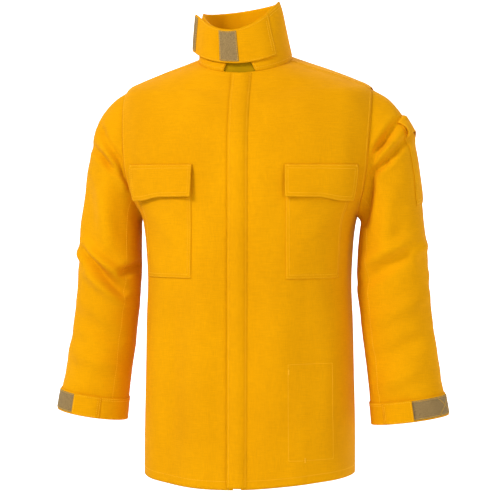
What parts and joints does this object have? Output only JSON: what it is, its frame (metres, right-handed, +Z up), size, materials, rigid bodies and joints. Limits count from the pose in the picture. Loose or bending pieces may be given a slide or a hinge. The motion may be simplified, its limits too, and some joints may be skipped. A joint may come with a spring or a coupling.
{
  "type": "turnout coat",
  "caption": "Long single-layer firefighting coat with stand-up collar, throat tab, covered front zip, two flapped chest pockets, a sleeve pocket and tabbed cuffs.",
  "frame": {"origin": "inside the hanger loop at the back of the neck, where a hook holds the coat", "axes": "+Z up along the coat, +X to the wearer's left, -Y the way the coat faces"},
  "size_m": [0.7294, 0.3037, 0.8754],
  "materials": {
    "yellow_cloth": "matte",
    "lining_cloth": "matte",
    "loop_tape": "matte",
    "hook_tape": "matte",
    "zip_tape": "matte",
    "zip_teeth": "satin",
    "slider_metal": "satin",
    "thread": "satin"
  },
  "bodies": {
    "coat_body": {"back_panel": "yellow_cloth", "back_yoke": "yellow_cloth", "bartacks": "thread", "collar_hook_patch": "hook_tape", "collar_lining": "lining_cloth", "collar_outer": "yellow_cloth", "fly_loop_strips": "loop_tape", "hanger_loop": "yellow_cloth", "hem_facing": "yellow_cloth", "inner_pocket": "yellow_cloth", "left_chest_pocket": "yellow_cloth", "left_front_panel": "yellow_cloth", "left_pocket_loop_patches": "loop_tape", "left_zip_tape": "zip_tape", "left_zip_teeth": "zip_teeth", "right_chest_pocket": "yellow_cloth", "right_front_panel": "yellow_cloth", "right_pocket_loop_patches": "loop_tape", "right_zip_tape": "zip_tape", "right_zip_teeth": "zip_teeth", "zip_end_box": "zip_teeth", "zip_top_stops": "zip_teeth"},
    "right_sleeve": {"right_top_sleeve": "yellow_cloth", "right_under_sleeve": "yellow_cloth", "right_cuff": "yellow_cloth", "right_cuff_loop_patch": "loop_tape"},
    "right_cuff_tab": {"right_cuff_tab": "yellow_cloth", "right_cuff_hook_patch": "hook_tape"},
    "right_pocket_flap": {"right_pocket_flap": "yellow_cloth", "right_flap_hook_patches": "hook_tape"},
    "left_sleeve": {"left_top_sleeve": "yellow_cloth", "left_under_sleeve": "yellow_cloth", "left_cuff": "yellow_cloth", "left_cuff_loop_patch": "loop_tape", "sleeve_pocket": "yellow_cloth", "sleeve_pocket_loop_patch": "loop_tape"},
    "left_cuff_tab": {"left_cuff_tab": "yellow_cloth", "left_cuff_hook_patch": "hook_tape"},
    "left_pocket_flap": {"left_pocket_flap": "yellow_cloth", "left_flap_hook_patches": "hook_tape"},
    "sleeve_pocket_flap": {"sleeve_pocket_flap": "yellow_cloth", "sleeve_flap_hook_patch": "hook_tape"},
    "storm_fly": {"storm_fly": "yellow_cloth", "fly_hook_strips": "hook_tape"},
    "throat_tab": {"throat_tab": "yellow_cloth", "tab_centre_patch": "loop_tape", "tab_end_patch": "loop_tape", "tab_hook_patch": "hook_tape"},
    "zip_slider": {"zip_slider": "slider_metal"},
    "zip_pull": {"zip_pull": "slider_metal"}
  },
  "joints": [
    {"name": "right_sleeve_lift", "type": "hinge", "parent": "coat_body", "child": "right_sleeve", "pos_m": [-0.229, -0.052, -0.056], "axis": [0, 1, 0], "range_deg": [0, 45]},
    {"name": "left_sleeve_lift", "type": "hinge", "parent": "coat_body", "child": "left_sleeve", "pos_m": [0.229, -0.052, -0.056], "axis": [0, -1, 0], "range_deg": [0, 45]},
    {"name": "right_flap_lift", "type": "hinge", "parent": "coat_body", "child": "right_pocket_flap", "pos_m": [-0.15195, -0.17539, -0.19743], "axis": [-0.9207, 0.3903, 0], "range_deg": [0, 150]},
    {"name": "left_flap_lift", "type": "hinge", "parent": "coat_body", "child": "left_pocket_flap", "pos_m": [0.15195, -0.17539, -0.19743], "axis": [-0.9207, -0.3903, 0], "range_deg": [0, 150]},
    {"name": "right_cuff_tab_open", "type": "hinge", "parent": "right_sleeve", "child": "right_cuff_tab", "pos_m": [-0.26622, -0.11855, -0.64431], "axis": [0.1232, 0.0251, 0.9921], "range_deg": [0, 110]},
    {"name": "left_cuff_tab_open", "type": "hinge", "parent": "left_sleeve", "child": "left_cuff_tab", "pos_m": [0.24884, -0.1109, -0.64641], "axis": [0.1142, -0.0255, -0.9931], "range_deg": [0, 110]},
    {"name": "sleeve_flap_lift", "type": "hinge", "parent": "left_sleeve", "child": "sleeve_pocket_flap", "pos_m": [0.28317, -0.03398, -0.10847], "axis": [0.1124, -0.9569, 0.2678], "range_deg": [0, 150]},
    {"name": "storm_fly_open", "type": "hinge", "parent": "coat_body", "child": "storm_fly", "pos_m": [0.0185, -0.2105, -0.4], "axis": [0, 0, 1], "range_deg": [0, 120]},
    {"name": "throat_tab_open", "type": "hinge", "parent": "coat_body", "child": "throat_tab", "pos_m": [0.0522, -0.11613, 0.03596], "axis": [-0.2216, 0.1153, 0.9683], "range_deg": [0, 110]},
    {"name": "zip_slide", "type": "slide", "parent": "coat_body", "child": "zip_slider", "axis": [0, -0.0156, -0.9999], "range_m": [0, 0.56]},
    {"name": "zip_pull_swing", "type": "hinge", "parent": "zip_slider", "child": "zip_pull", "pos_m": [0, -0.19314, -0.16438], "axis": [0, -0.9981, 0.061], "range_deg": [-8, 8]}
  ]
}
